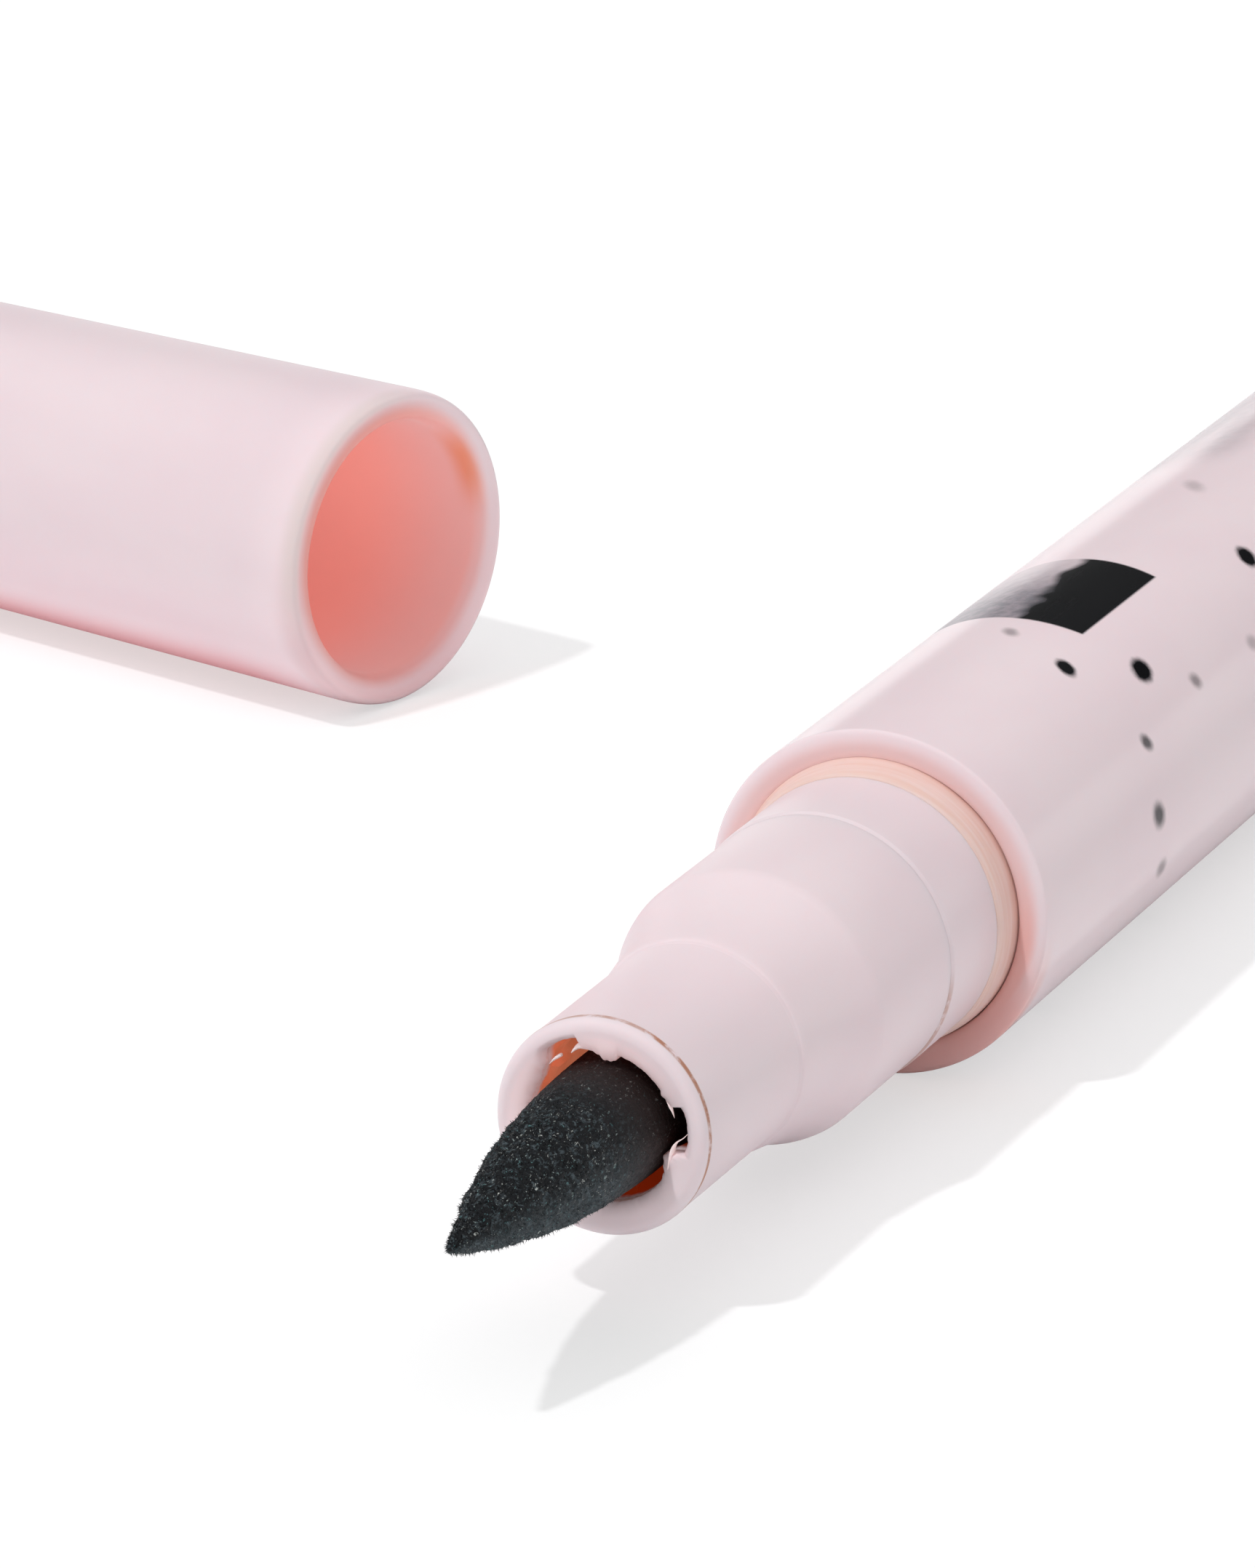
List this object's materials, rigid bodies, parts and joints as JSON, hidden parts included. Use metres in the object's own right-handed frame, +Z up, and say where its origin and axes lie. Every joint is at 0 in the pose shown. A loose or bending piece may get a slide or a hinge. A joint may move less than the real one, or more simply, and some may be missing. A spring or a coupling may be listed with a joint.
{
  "type": "felt-tip pen",
  "caption": "Capless felt-tip cosmetic pen lying flat: pointed fibre nib, stepped nose, straight printed barrel, and its pull-off cap laid beside it.",
  "frame": {"origin": "bottom centre of the box round the pen and its cap, on the surface that both lie on", "axes": "+X along the pen from its nib to its tail plug, +Y across to the cap, +Z up"},
  "size_m": [0.1166, 0.0828, 0.0105],
  "materials": {
    "shell_plastic": "satin pale pink moulding",
    "holder_plastic": "satin pale pink moulding, ink-stained inside",
    "ring_plastic": "peach, soft",
    "nib_fibre": "dark ink-soaked fibre",
    "wad_fibre": "ink-soaked fibre",
    "clear_film": "thin film",
    "liner_plastic": "coral moulding"
  },
  "bodies": {
    "pen": {"barrel": "shell_plastic", "collar": "shell_plastic", "section_seal_ring": "ring_plastic", "nose_section": "shell_plastic", "nib_holder": "holder_plastic", "nib": "nib_fibre", "reservoir": "wad_fibre", "reservoir_sleeve": "clear_film", "tail_plug": "shell_plastic"},
    "cap": {"cap_shell": "shell_plastic", "cap_liner": "liner_plastic"}
  },
  "joints": [
    {"name": "cap_slide", "type": "slide", "parent": "pen", "child": "cap", "axis": [0.2723, 0.9622, 0], "range_m": [0, 0.032]}
  ]
}
